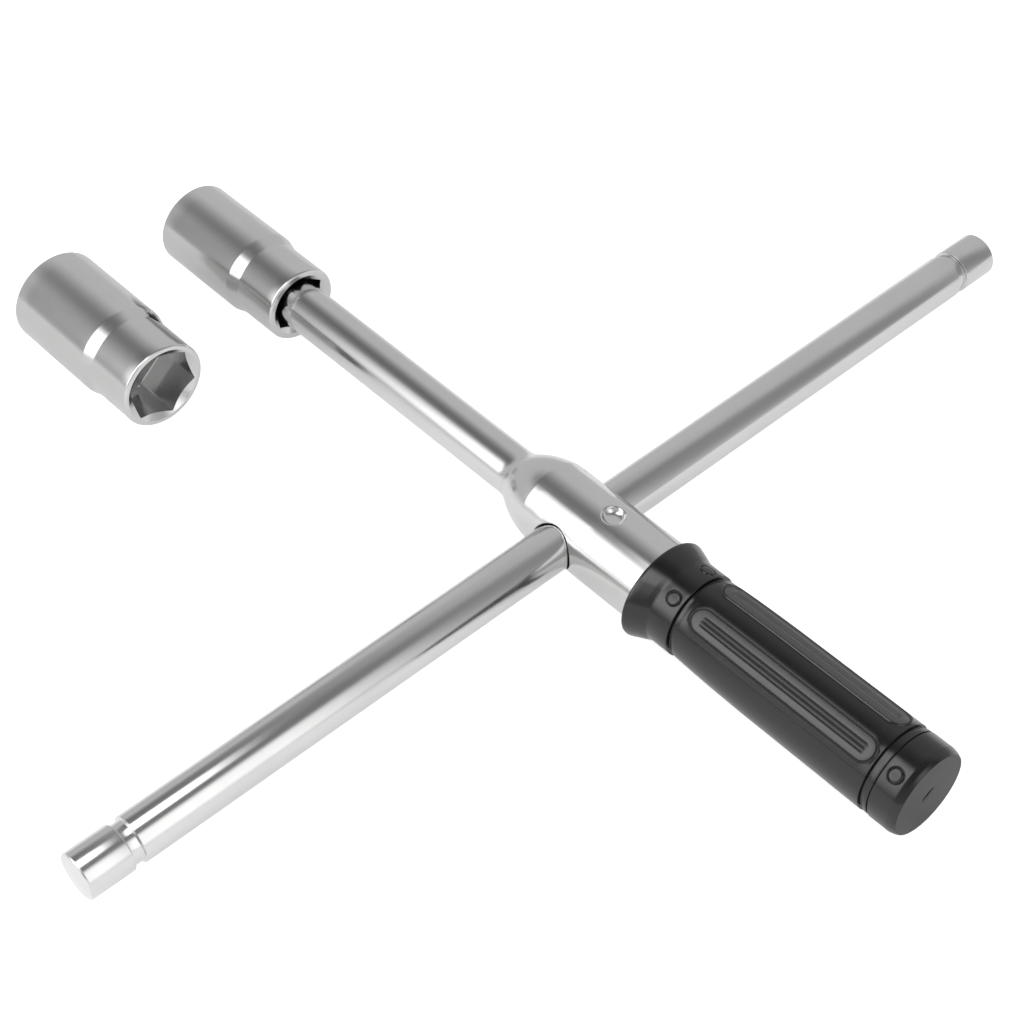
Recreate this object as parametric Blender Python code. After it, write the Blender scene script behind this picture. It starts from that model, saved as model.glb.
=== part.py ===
"""Lug wrench with a sliding cross bar, a moulded grip and two double-ended hex sockets.

Every piece of the wrench is drawn around the crossing of the shaft axis (X) and the bar axis (Y).
Lengths along the shaft are measured from that crossing, and +X points to the grip.
Each socket is drawn from its near mouth, along -X.
"""

import math

import bmesh
import bpy

MM = 0.001
GAP = 0.3 * MM
SEGMENTS = 48
FINE_SEGMENTS = 24
OVERSHOOT = 2.0 * MM

# Placing: the grip's flange and both sockets stand on z = 0.
CROSSING_X = 28.45 * MM
AXIS_HEIGHT = 16.0 * MM

# Cross bar
BAR_RADIUS = 7.0 * MM
BAR_LENGTH = 350.0 * MM
BAR_CHAMFER = 0.4 * MM
BAR_GROOVE_OFFSET = 160.0 * MM
BAR_GROOVE_WIDTH = 3.4 * MM
BAR_GROOVE_RADIUS = 6.1 * MM
BAR_GROOVE_SLOPE = 0.35 * MM

# Drive rod
ROD_RADIUS = 7.5 * MM
ROD_SHOULDER_X = -26.3 * MM
SPIGOT_RADIUS = 5.0 * MM
SPIGOT_END_X = -14.0 * MM
SQUARE_START_X = -128.5 * MM
SQUARE_HALF = 6.35 * MM
ROD_TIP_X = -149.5 * MM
ROD_TIP_RADIUS = 5.6 * MM
ROD_TIP_CHAMFER = 1.7 * MM

# Hub
HUB_RADIUS = 13.0 * MM
HUB_NOSE_X = -26.0 * MM
HUB_NOSE_RADIUS = 7.6 * MM
HUB_CONE_START_X = -14.0 * MM
HUB_REAR_X = 34.0 * MM
HUB_CHAMFER = 0.5 * MM
BAR_HOLE_RADIUS = 7.5 * MM
SPIGOT_BORE_RADIUS = SPIGOT_RADIUS + GAP
SPIGOT_BORE_END_X = SPIGOT_END_X + GAP
COUNTERBORE_RADIUS = 10.3 * MM
COUNTERBORE_X = 9.0 * MM
DETENT_HOLE_RADIUS = 2.8 * MM
DETENT_LIP_RADIUS = 2.4 * MM
DETENT_LIP_X = 8.15 * MM
DIMPLE_X = 11.0 * MM
DIMPLE_RADIUS = 3.4 * MM
DIMPLE_DEPTH = 2.2 * MM
DIMPLE_SLOPE = math.radians(30.0)

# Handle tube and the seat of the bar's detent
TUBE_OUTER_RADIUS = COUNTERBORE_RADIUS - GAP
TUBE_INNER_RADIUS = 8.0 * MM
TUBE_START_X = COUNTERBORE_X + GAP
TUBE_END_X = 124.0 * MM
SEAT_RADIUS = TUBE_INNER_RADIUS - GAP
SEAT_END_X = 24.0 * MM
SEAT_POCKET_X = 21.0 * MM

# Bar detent
DETENT_BALL_RADIUS = 2.5 * MM
DETENT_BALL_X = BAR_RADIUS + GAP + DETENT_BALL_RADIUS
DETENT_SPRING_RADIUS = 2.4 * MM
DETENT_SPRING_WIRE = 0.7 * MM
DETENT_SPRING_TURNS = 7

# Socket detent in the square drive
DRIVE_BALL_RADIUS = 2.25 * MM
DRIVE_BALL_X = -145.5 * MM
DRIVE_BALL_Z = -SQUARE_HALF + DRIVE_BALL_RADIUS
BALL_BORE_RADIUS = DRIVE_BALL_RADIUS + GAP
BALL_BORE_TOP_Z = 3.2 * MM
BALL_LIP_RADIUS = 2.15 * MM
BALL_LIP_Z = -5.9 * MM
DRIVE_SPRING_RADIUS = 2.1 * MM
DRIVE_SPRING_WIRE = 0.6 * MM
DRIVE_SPRING_TURNS = 4

# Grip
FLANGE_RADIUS = 16.0 * MM
FLANGE_FRONT_X = 31.0 * MM
FLANGE_BORE_RADIUS = HUB_RADIUS + GAP
FLANGE_BORE_END_X = HUB_REAR_X + GAP
GRIP_BORE_RADIUS = TUBE_OUTER_RADIUS + GAP
GRIP_BORE_END_X = TUBE_END_X + GAP
GRIP_END_X = 127.4 * MM
GRIP_END_FILLET = 1.3 * MM
COLLAR_RADIUS = 13.25 * MM
BARREL_RADIUS = 13.7 * MM
END_COLLAR_RADIUS = 13.65 * MM
VENT_LENGTH = 4.6 * MM
VENT_WIDTH = 0.9 * MM
VENT_SLANT = math.radians(31.0)
VENT_Y = -0.9 * MM
VENT_Z = 1.5 * MM
PANEL_START_X = 49.0 * MM
PANEL_END_X = 114.5 * MM
PANEL_HALF_WIDTH = 3.55 * MM
PANEL_DEPTH = 0.5 * MM
PANEL_TURNS = (36.0, -24.0, 156.0, 216.0)
RIB_OUTER = 1.55 * MM
RIB_SLOT = 0.35 * MM
BOSS_X = 42.5 * MM
BOSS_TURNS = (35.0, -25.0, 155.0, 215.0)
REAR_BOSS_X = 121.8 * MM
REAR_BOSS_TURN = 38.0
BOSS_RADIUS = 2.25 * MM
BOSS_GROOVE_WIDTH = 0.4 * MM
BOSS_GROOVE_DEPTH = 0.35 * MM

# Sockets
SQUARE_HOLE_HALF = SQUARE_HALF + GAP
NEAR_HEX_DEPTH = 13.5 * MM
WEB_END = 24.0 * MM
BALL_HOLE_AT = 17.5 * MM
BALL_HOLE_RADIUS = 2.6 * MM
SOCKET_EDGE = 0.8 * MM
MOUTH_CHAMFER = 0.5 * MM
MOUNTED_NEAR_X = -128.0 * MM
MOUNTED_LENGTH = 54.5 * MM
MOUNTED_SMALL_RADIUS = 12.5 * MM
MOUNTED_LARGE_RADIUS = 13.7 * MM
MOUNTED_TAPER = (15.5 * MM, 21.5 * MM)
MOUNTED_HEXES = (17.2 * MM, 19.2 * MM)
SPARE_NEAR_X = -128.0 * MM
SPARE_Y = -53.5 * MM
SPARE_TURN = math.radians(130.0)
SPARE_LENGTH = 56.3 * MM
SPARE_SMALL_RADIUS = 14.35 * MM
SPARE_LARGE_RADIUS = 15.5 * MM
SPARE_TAPER = (16.5 * MM, 21.5 * MM)
SPARE_HEXES = (21.2 * MM, 23.2 * MM)

TURN_TO = {
    "X": (0.0, math.pi / 2, 0.0),
    "Y": (-math.pi / 2, 0.0, 0.0),
    "Z": (0.0, 0.0, 0.0),
}


def clear_scene():
    for obj in list(bpy.data.objects):
        bpy.data.objects.remove(obj, do_unlink=True)


def make_material(name, colour, roughness, metallic):
    material = bpy.data.materials.new(name)
    material.use_nodes = True
    shader = material.node_tree.nodes["Principled BSDF"]
    shader.inputs["Base Color"].default_value = (*colour, 1.0)
    shader.inputs["Roughness"].default_value = roughness
    shader.inputs["Metallic"].default_value = metallic
    return material


def add_empty(name, location, turn_x=0.0):
    empty = bpy.data.objects.new(name, None)
    empty.location = location
    empty.rotation_euler = (turn_x, 0.0, 0.0)
    bpy.context.collection.objects.link(empty)
    return empty


def add_object(name, data, parent, location=(0.0, 0.0, 0.0)):
    obj = bpy.data.objects.new(name, data)
    obj.parent = parent
    obj.location = location
    bpy.context.collection.objects.link(obj)
    return obj


def arc(centre_x, centre_r, radius, start, end, count=4):
    """Points (x, r) of an arc, with angles in degrees from +x towards +r."""
    angles = [math.radians(start + (end - start) * i / count) for i in range(count + 1)]
    return [(centre_x + radius * math.cos(a), centre_r + radius * math.sin(a)) for a in angles]


def turned(name, profile, parent, location=(0.0, 0.0, 0.0), axis="X", ring=False, steps=SEGMENTS):
    """Solid of revolution about the axis. The profile holds (along, radius) points.

    It runs from the high end down the outside, then back along the inside.
    """
    mesh = bpy.data.meshes.new(name)
    shape = bmesh.new()
    points = [shape.verts.new((radius, 0.0, along)) for along, radius in profile]
    for first, second in zip(points, points[1:]):
        shape.edges.new((first, second))
    if ring:
        shape.edges.new((points[-1], points[0]))
    shape.to_mesh(mesh)
    shape.free()
    obj = add_object(name, mesh, parent, location)
    obj.rotation_euler = TURN_TO[axis]
    screw = obj.modifiers.new("turn", "SCREW")
    screw.axis = "Z"
    screw.angle = 2 * math.pi
    screw.steps = steps
    screw.render_steps = steps
    screw.use_merge_vertices = True
    screw.merge_threshold = 1e-6
    screw.use_smooth_shade = True
    return obj


def prism(name, outline, start, end, parent):
    """Solid with the given (y, z) outline, from x = start to x = end."""
    mesh = bpy.data.meshes.new(name)
    shape = bmesh.new()
    corners = [shape.verts.new((start, y, z)) for y, z in outline]
    face = shape.faces.new(corners)
    grown = bmesh.ops.extrude_face_region(shape, geom=[face])
    moved = [item for item in grown["geom"] if isinstance(item, bmesh.types.BMVert)]
    bmesh.ops.translate(shape, vec=(end - start, 0.0, 0.0), verts=moved)
    bmesh.ops.recalc_face_normals(shape, faces=shape.faces)
    shape.to_mesh(mesh)
    shape.free()
    return add_object(name, mesh, parent)


def ball(name, radius, parent, location):
    mesh = bpy.data.meshes.new(name)
    shape = bmesh.new()
    bmesh.ops.create_uvsphere(shape, u_segments=FINE_SEGMENTS, v_segments=12, radius=radius)
    for face in shape.faces:
        face.smooth = True
    shape.to_mesh(mesh)
    shape.free()
    return add_object(name, mesh, parent, location)


def coil_spring(name, radius, wire, turns, start, end, parent, location, axis):
    """Compression spring with one closed turn at each end, from start to end along its axis."""
    low = start + wire / 2
    high = end - wire / 2
    closed_pitch = 1.2 * wire
    open_pitch = (high - low - 2 * closed_pitch) / (turns - 2)
    curve = bpy.data.curves.new(name, "CURVE")
    curve.dimensions = "3D"
    curve.bevel_depth = wire / 2
    curve.bevel_resolution = 1
    curve.use_fill_caps = True
    per_turn = 16
    spline = curve.splines.new("POLY")
    spline.points.add(turns * per_turn)
    for index, point in enumerate(spline.points):
        turn = index / per_turn
        opened = min(max(turn - 1.0, 0.0), turns - 2.0)
        along = low + closed_pitch * (turn - opened) + open_pitch * opened
        angle = 2 * math.pi * turn
        middle = radius - wire / 2
        point.co = (middle * math.cos(angle), middle * math.sin(angle), along, 1.0)
    obj = add_object(name, curve, parent, location)
    obj.rotation_euler = TURN_TO[axis]
    return obj


def cut(obj, tool):
    tool.hide_render = True
    tool.display_type = "WIRE"
    boolean = obj.modifiers.new(tool.name, "BOOLEAN")
    boolean.operation = "DIFFERENCE"
    boolean.solver = "EXACT"
    boolean.object = tool


def hexagon(across_flats):
    """Corners (y, z) of a hexagon with one corner straight up."""
    radius = across_flats / math.sqrt(3)
    angles = [math.radians(30 + 60 * i) for i in range(6)]
    return [(radius * math.cos(a), radius * math.sin(a)) for a in angles]


def square(half):
    return [(half, half), (-half, half), (-half, -half), (half, -half)]


def stadium(start, end, half_width, count=6):
    """Points (x, t) round a slot with half-circle ends."""
    points = []
    for centre, first in ((end - half_width, -90), (start + half_width, 90)):
        for i in range(count + 1):
            angle = math.radians(first + 180 * i / count)
            points.append((centre + half_width * math.cos(angle), half_width * math.sin(angle)))
    return points


def circle(centre_x, radius, count=16):
    """Points (x, t) round a circle."""
    angles = [2 * math.pi * i / count for i in range(count)]
    return [(centre_x + radius * math.cos(a), radius * math.sin(a)) for a in angles]


def wrap(x, t, radius, angle):
    """Point on a cylinder about X, t along its girth from the angle (0 is up, growing to -Y)."""
    turn = angle + t / BARREL_RADIUS
    return (x, -radius * math.sin(turn), radius * math.cos(turn))


def add_loop_groove(shape, outer, inner, angle, low, high):
    """Adds a closed band with a rectangular section, wrapped round the cylinder, to the shape."""
    rings = []
    for outline, radius in ((outer, low), (outer, high), (inner, high), (inner, low)):
        rings.append([shape.verts.new(wrap(x, t, radius, angle)) for x, t in outline])
    for first, second in zip(rings, rings[1:] + rings[:1]):
        for i in range(len(first)):
            j = (i + 1) % len(first)
            shape.faces.new((first[i], first[j], second[j], second[i]))


def add_slot(shape, outline, angle, low, high):
    """Adds a solid with the given outline, wrapped round the cylinder, to the shape."""
    bottom = [shape.verts.new(wrap(x, t, low, angle)) for x, t in outline]
    top = [shape.verts.new(wrap(x, t, high, angle)) for x, t in outline]
    shape.faces.new(reversed(bottom))
    shape.faces.new(top)
    for i in range(len(outline)):
        j = (i + 1) % len(outline)
        shape.faces.new((bottom[i], bottom[j], top[j], top[i]))


def panel_cutter(parent):
    """All the recessed panels: a loop groove and a middle slot leave two joined ribs standing."""
    mesh = bpy.data.meshes.new("panel_cutter")
    shape = bmesh.new()
    low = BARREL_RADIUS - PANEL_DEPTH
    high = BARREL_RADIUS + OVERSHOOT
    margin = PANEL_HALF_WIDTH - RIB_OUTER
    outer = stadium(PANEL_START_X, PANEL_END_X, PANEL_HALF_WIDTH)
    inner = stadium(PANEL_START_X + margin, PANEL_END_X - margin, RIB_OUTER)
    slot = stadium(PANEL_START_X + 2 * margin, PANEL_END_X - 2 * margin, RIB_SLOT, 4)
    for turn in PANEL_TURNS:
        angle = math.radians(turn)
        add_loop_groove(shape, outer, inner, angle, low, high)
        add_slot(shape, slot, angle, low, high)
    bmesh.ops.triangulate(shape, faces=shape.faces)
    bmesh.ops.recalc_face_normals(shape, faces=shape.faces)
    shape.to_mesh(mesh)
    shape.free()
    return add_object("panel_cutter", mesh, parent)


def boss_cutter(parent):
    """Ring grooves that outline round buttons: four on the front collar, one on the end collar."""
    mesh = bpy.data.meshes.new("boss_cutter")
    shape = bmesh.new()
    places = [(BOSS_X, turn, COLLAR_RADIUS) for turn in BOSS_TURNS]
    places.append((REAR_BOSS_X, REAR_BOSS_TURN, END_COLLAR_RADIUS))
    for x, turn, surface in places:
        angle = math.radians(turn)
        outer = circle(x, BOSS_RADIUS)
        inner = circle(x, BOSS_RADIUS - BOSS_GROOVE_WIDTH)
        low = surface - BOSS_GROOVE_DEPTH
        add_loop_groove(shape, outer, inner, angle, low, surface + OVERSHOOT)
    bmesh.ops.triangulate(shape, faces=shape.faces)
    bmesh.ops.recalc_face_normals(shape, faces=shape.faces)
    shape.to_mesh(mesh)
    shape.free()
    return add_object("boss_cutter", mesh, parent)


def bar_groove(centre):
    """Profile points of one groove of the bar, from its high side to its low side."""
    half = BAR_GROOVE_WIDTH / 2
    return [
        (centre + half, BAR_RADIUS),
        (centre + half - BAR_GROOVE_SLOPE, BAR_GROOVE_RADIUS),
        (centre - half + BAR_GROOVE_SLOPE, BAR_GROOVE_RADIUS),
        (centre - half, BAR_RADIUS),
    ]


def build_cross_bar(parent, material):
    """Round bar along Y with a stop groove near each end and one in the middle."""
    end = BAR_LENGTH / 2
    profile = [(end, 0.0), (end, BAR_RADIUS - BAR_CHAMFER), (end - BAR_CHAMFER, BAR_RADIUS)]
    for centre in (BAR_GROOVE_OFFSET, 0.0, -BAR_GROOVE_OFFSET):
        profile += bar_groove(centre)
    profile += [(-end + BAR_CHAMFER, BAR_RADIUS), (-end, BAR_RADIUS - BAR_CHAMFER), (-end, 0.0)]
    bar = turned("cross_bar", profile, parent, axis="Y")
    bar.data.materials.append(material)


def build_drive_rod(parent, material):
    """Round rod: a spigot for the hub, a shoulder, and a square drive with a ball bore."""
    chamfer = 0.5 * MM
    profile = [
        (SPIGOT_END_X, 0.0),
        (SPIGOT_END_X, SPIGOT_RADIUS - chamfer),
        (SPIGOT_END_X - chamfer, SPIGOT_RADIUS),
        (ROD_SHOULDER_X, SPIGOT_RADIUS),
        (ROD_SHOULDER_X, ROD_RADIUS),
        (ROD_TIP_X + ROD_TIP_CHAMFER, ROD_RADIUS),
        (ROD_TIP_X, ROD_TIP_RADIUS),
        (ROD_TIP_X, 0.0),
    ]
    rod = turned("drive_rod", profile, parent)
    rod.data.materials.append(material)
    wide = 5.0 * MM
    far = ROD_RADIUS + OVERSHOOT
    for name, turn in (("flat_up", 0), ("flat_side", 1), ("flat_down", 2), ("flat_other_side", 3)):
        outline = [(-wide, SQUARE_HALF), (wide, SQUARE_HALF), (wide, far), (-wide, far)]
        end = ROD_TIP_X - OVERSHOOT
        flat = prism(name, outline, end, SQUARE_START_X, parent)
        flat.rotation_euler = (turn * math.pi / 2, 0.0, 0.0)
        cut(rod, flat)
    bore_profile = [
        (BALL_BORE_TOP_Z, 0.0),
        (BALL_BORE_TOP_Z, BALL_BORE_RADIUS),
        (BALL_LIP_Z + GAP, BALL_BORE_RADIUS),
        (BALL_LIP_Z, BALL_LIP_RADIUS),
        (-SQUARE_HALF - OVERSHOOT, BALL_LIP_RADIUS),
        (-SQUARE_HALF - OVERSHOOT, 0.0),
    ]
    place = (DRIVE_BALL_X, 0.0, 0.0)
    cut(rod, turned("ball_bore", bore_profile, parent, place, "Z", steps=FINE_SEGMENTS))


def hub_profile():
    """Axis to axis: detent hole, counterbore, outside, round-shouldered nose, spigot bore."""
    profile = [
        (2.0 * MM, 0.0),
        (2.0 * MM, DETENT_LIP_RADIUS),
        (DETENT_LIP_X, DETENT_LIP_RADIUS),
        (DETENT_LIP_X, DETENT_HOLE_RADIUS),
        (COUNTERBORE_X, DETENT_HOLE_RADIUS),
        (COUNTERBORE_X, COUNTERBORE_RADIUS),
        (HUB_REAR_X, COUNTERBORE_RADIUS),
        (HUB_REAR_X, HUB_RADIUS - HUB_CHAMFER),
        (HUB_REAR_X - HUB_CHAMFER, HUB_RADIUS),
    ]
    length = HUB_CONE_START_X - HUB_NOSE_X
    for i in range(9):
        along = i / 8
        drop = (HUB_RADIUS - HUB_NOSE_RADIUS) * along**1.5
        profile.append((HUB_CONE_START_X - length * along, HUB_RADIUS - drop))
    profile += [
        (HUB_NOSE_X, SPIGOT_BORE_RADIUS),
        (SPIGOT_BORE_END_X, SPIGOT_BORE_RADIUS),
        (SPIGOT_BORE_END_X, 0.0),
    ]
    return profile


def build_hub(parent, material):
    """Turned head with the cross hole for the bar and a punched dimple on top."""
    hub = turned("hub", hub_profile(), parent)
    hub.data.materials.append(material)
    reach = HUB_RADIUS + OVERSHOOT
    hole = [(reach, 0.0), (reach, BAR_HOLE_RADIUS), (-reach, BAR_HOLE_RADIUS), (-reach, 0.0)]
    cut(hub, turned("bar_hole", hole, parent, axis="Y"))
    bottom = HUB_RADIUS - DIMPLE_DEPTH
    rim = bottom + DIMPLE_RADIUS * math.tan(DIMPLE_SLOPE)
    pit = [(reach, 0.0), (reach, DIMPLE_RADIUS), (rim, DIMPLE_RADIUS), (bottom, 0.0)]
    place = (DIMPLE_X, 0.0, 0.0)
    cut(hub, turned("dimple", pit, parent, place, "Z", steps=FINE_SEGMENTS))


def build_handle_tube(parent, material):
    profile = [
        (TUBE_END_X, TUBE_INNER_RADIUS),
        (TUBE_END_X, TUBE_OUTER_RADIUS),
        (TUBE_START_X, TUBE_OUTER_RADIUS),
        (TUBE_START_X, TUBE_INNER_RADIUS),
    ]
    tube = turned("handle_tube", profile, parent, ring=True)
    tube.data.materials.append(material)


def build_detent_seat(parent, material):
    """Plug in the tube, with the pocket that the detent spring pushes on."""
    profile = [
        (SEAT_END_X, 0.0),
        (SEAT_END_X, SEAT_RADIUS),
        (TUBE_START_X, SEAT_RADIUS),
        (TUBE_START_X, DETENT_HOLE_RADIUS),
        (SEAT_POCKET_X, DETENT_HOLE_RADIUS),
        (SEAT_POCKET_X, 0.0),
    ]
    seat = turned("detent_seat", profile, parent)
    seat.data.materials.append(material)


def grip_profile():
    """Axis to axis: end face, end collar, grooves, barrel, front collar, flange, bores."""
    fillet = GRIP_END_FILLET
    profile = [(GRIP_END_X, 0.0)]
    profile += arc(GRIP_END_X - fillet, END_COLLAR_RADIUS - fillet, fillet, 0, 90)
    profile += [
        (118.5 * MM, END_COLLAR_RADIUS),
        (118.3 * MM, 13.2 * MM),
        (117.9 * MM, 13.2 * MM),
        (117.7 * MM, 13.5 * MM),
        (116.7 * MM, 13.5 * MM),
        (116.3 * MM, 13.1 * MM),
        (115.5 * MM, 13.1 * MM),
        (115.1 * MM, BARREL_RADIUS),
        (72.0 * MM, BARREL_RADIUS),
        (63.0 * MM, 13.5 * MM),
        (57.0 * MM, 13.3 * MM),
        (52.0 * MM, 13.1 * MM),
        (48.2 * MM, 12.9 * MM),
        (47.5 * MM, 12.6 * MM),
        (45.8 * MM, 12.6 * MM),
        (45.3 * MM, COLLAR_RADIUS),
        (38.5 * MM, COLLAR_RADIUS),
        (37.2 * MM, 13.8 * MM),
        (36.0 * MM, 14.45 * MM),
        (34.8 * MM, 15.05 * MM),
        (33.6 * MM, 15.55 * MM),
        (32.6 * MM, 15.85 * MM),
        (31.9 * MM, FLANGE_RADIUS),
        (31.3 * MM, 15.9 * MM),
        (FLANGE_FRONT_X, 15.5 * MM),
        (FLANGE_FRONT_X, FLANGE_BORE_RADIUS),
        (FLANGE_BORE_END_X, FLANGE_BORE_RADIUS),
        (FLANGE_BORE_END_X, GRIP_BORE_RADIUS),
        (GRIP_BORE_END_X, GRIP_BORE_RADIUS),
        (GRIP_BORE_END_X, 0.0),
    ]
    return profile


def build_grip(parent, material):
    """One moulding over the tube and the hub's tail, with ribbed panels and a vent slit."""
    grip = turned("grip", grip_profile(), parent)
    grip.data.materials.append(material)
    cut(grip, panel_cutter(parent))
    cut(grip, boss_cutter(parent))
    outline = []
    for along, across in ((-1, -1), (1, -1), (1, 1), (-1, 1)):
        run = along * VENT_LENGTH / 2
        side = across * VENT_WIDTH / 2
        y = VENT_Y + run * math.cos(VENT_SLANT) - side * math.sin(VENT_SLANT)
        z = VENT_Z + run * math.sin(VENT_SLANT) + side * math.cos(VENT_SLANT)
        outline.append((y, z))
    start = GRIP_BORE_END_X - OVERSHOOT
    end = GRIP_END_X + OVERSHOOT
    cut(grip, prism("vent", outline, start, end, parent))


def build_bar_detent(parent, material):
    start = DETENT_BALL_X + DETENT_BALL_RADIUS + GAP
    spring = coil_spring(
        "detent_spring",
        DETENT_SPRING_RADIUS,
        DETENT_SPRING_WIRE,
        DETENT_SPRING_TURNS,
        0.0,
        SEAT_POCKET_X - GAP - start,
        parent,
        (start, 0.0, 0.0),
        "X",
    )
    spring.data.materials.append(material)
    place = (DETENT_BALL_X, 0.0, 0.0)
    detent_ball = ball("detent_ball", DETENT_BALL_RADIUS, parent, place)
    detent_ball.data.materials.append(material)


def build_drive_detent(parent, material):
    start = DRIVE_BALL_Z + DRIVE_BALL_RADIUS + GAP
    spring = coil_spring(
        "drive_spring",
        DRIVE_SPRING_RADIUS,
        DRIVE_SPRING_WIRE,
        DRIVE_SPRING_TURNS,
        0.0,
        BALL_BORE_TOP_Z - GAP - start,
        parent,
        (DRIVE_BALL_X, 0.0, start),
        "Z",
    )
    spring.data.materials.append(material)
    place = (DRIVE_BALL_X, 0.0, DRIVE_BALL_Z)
    drive_ball = ball("drive_ball", DRIVE_BALL_RADIUS, parent, place)
    drive_ball.data.materials.append(material)


def socket_profile(length, small, large, taper):
    """Full outside of a socket from the near mouth to the far mouth, axis to axis."""
    edge = SOCKET_EDGE
    profile = [(0.0, 0.0)]
    profile += arc(-edge, small - edge, edge, 0, 90, 3)
    steps = 6
    for i in range(steps + 1):
        along = i / steps
        rise = (1 - math.cos(math.pi * along)) / 2
        x = -taper[0] - (taper[1] - taper[0]) * along
        profile.append((x, small + (large - small) * rise))
    profile += arc(-length + edge, large - edge, edge, 90, 180, 3)
    profile.append((-length, 0.0))
    return profile


def mouth_cutter(name, mouth, inward, across_flats, parent):
    """Cone that chamfers the corners of a hex mouth. Inward is -1 or 1 along X."""
    corner = across_flats / math.sqrt(3)
    outer = corner + MOUTH_CHAMFER
    inner = across_flats / 2 - 0.2 * MM
    depth = (outer - inner) * 0.6
    out = mouth - inward * OVERSHOOT
    deep = mouth + inward * depth
    profile = [(out, 0.0), (out, outer), (mouth, outer), (deep, inner), (deep, 0.0)]
    if inward > 0:
        profile.reverse()
    return turned(name, profile, parent)


def build_socket(name, frame, length, small, large, taper, hexes, material):
    """Double-ended hex socket with a square web between the hexes and a ball hole in the web."""
    profile = socket_profile(length, small, large, taper)
    socket = turned(name, profile, frame)
    socket.data.materials.append(material)
    near, far = hexes
    near_hex = prism(name + "_near_hex", hexagon(near), -NEAR_HEX_DEPTH, OVERSHOOT, frame)
    cut(socket, near_hex)
    far_hex = prism(name + "_far_hex", hexagon(far), -length - OVERSHOOT, -WEB_END, frame)
    cut(socket, far_hex)
    low = -WEB_END - OVERSHOOT
    high = -NEAR_HEX_DEPTH + OVERSHOOT
    cut(socket, prism(name + "_square", square(SQUARE_HOLE_HALF), low, high, frame))
    cut(socket, mouth_cutter(name + "_near_mouth", 0.0, -1, near, frame))
    cut(socket, mouth_cutter(name + "_far_mouth", -length, 1, far, frame))
    deep = -SQUARE_HALF + OVERSHOOT
    out = -large - OVERSHOOT
    hole = [(deep, 0.0), (deep, BALL_HOLE_RADIUS), (out, BALL_HOLE_RADIUS), (out, 0.0)]
    place = (-BALL_HOLE_AT, 0.0, 0.0)
    cut(socket, turned(name + "_ball_hole", hole, frame, place, "Z", steps=FINE_SEGMENTS))


def build_sockets(material):
    mounted_place = (CROSSING_X + MOUNTED_NEAR_X, 0.0, AXIS_HEIGHT)
    build_socket(
        "mounted_socket",
        add_empty("mounted_socket_frame", mounted_place),
        MOUNTED_LENGTH,
        MOUNTED_SMALL_RADIUS,
        MOUNTED_LARGE_RADIUS,
        MOUNTED_TAPER,
        MOUNTED_HEXES,
        material,
    )
    spare_place = (CROSSING_X + SPARE_NEAR_X, SPARE_Y, SPARE_LARGE_RADIUS)
    build_socket(
        "spare_socket",
        add_empty("spare_socket_frame", spare_place, SPARE_TURN),
        SPARE_LENGTH,
        SPARE_SMALL_RADIUS,
        SPARE_LARGE_RADIUS,
        SPARE_TAPER,
        SPARE_HEXES,
        material,
    )


def main():
    clear_scene()
    crossing = add_empty("crossing", (CROSSING_X, 0.0, AXIS_HEIGHT))
    chrome = make_material("chrome_steel", (0.66, 0.66, 0.67), 0.22, 1.0)
    inner_steel = make_material("plain_steel", (0.42, 0.42, 0.43), 0.4, 1.0)
    rubber = make_material("black_grip", (0.02, 0.02, 0.021), 0.45, 0.0)
    build_cross_bar(crossing, chrome)
    build_drive_rod(crossing, chrome)
    build_hub(crossing, chrome)
    build_handle_tube(crossing, inner_steel)
    build_detent_seat(crossing, inner_steel)
    build_bar_detent(crossing, inner_steel)
    build_drive_detent(crossing, inner_steel)
    build_grip(crossing, rubber)
    build_sockets(chrome)


main()
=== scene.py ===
"""Lug wrench looks: satin chrome shaft, bar and sockets, and a moulded black grip.

Every visible piece is a surface worked out in millimetres from its own middle, then put in place by
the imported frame's boxes. Shaft pieces run along X and count their turn from straight up towards -Y.
"""
import math

import bmesh
import bpy
import numpy as np
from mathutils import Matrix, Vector


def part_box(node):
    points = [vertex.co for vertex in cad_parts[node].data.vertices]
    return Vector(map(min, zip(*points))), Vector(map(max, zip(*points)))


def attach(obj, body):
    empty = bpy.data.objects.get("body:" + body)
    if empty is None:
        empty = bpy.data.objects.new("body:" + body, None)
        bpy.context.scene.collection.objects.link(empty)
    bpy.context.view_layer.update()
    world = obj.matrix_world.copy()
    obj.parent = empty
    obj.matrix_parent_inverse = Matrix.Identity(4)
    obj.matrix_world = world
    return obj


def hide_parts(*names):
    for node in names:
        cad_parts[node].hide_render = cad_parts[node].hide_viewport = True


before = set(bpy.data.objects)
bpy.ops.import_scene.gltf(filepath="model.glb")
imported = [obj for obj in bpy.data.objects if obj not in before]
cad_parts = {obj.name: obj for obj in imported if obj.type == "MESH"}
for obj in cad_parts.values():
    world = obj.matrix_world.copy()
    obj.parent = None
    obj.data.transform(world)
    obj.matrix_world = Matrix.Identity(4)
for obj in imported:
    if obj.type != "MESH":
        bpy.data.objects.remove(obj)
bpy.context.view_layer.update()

MM = 0.001
WELD = 2e-6

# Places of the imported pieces
BAR_LOW, BAR_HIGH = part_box("cross_bar")
CROSSING = (BAR_LOW + BAR_HIGH) / 2
MOUNTED_LOW, MOUNTED_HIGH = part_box("mounted_socket")
SPARE_LOW, SPARE_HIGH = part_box("spare_socket")
MOUNTED_MOUTH = Vector((MOUNTED_HIGH.x, CROSSING.y, CROSSING.z))
SPARE_MOUTH = Vector((SPARE_HIGH.x, (SPARE_LOW.y + SPARE_HIGH.y) / 2, (SPARE_LOW.z + SPARE_HIGH.z) / 2))

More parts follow.
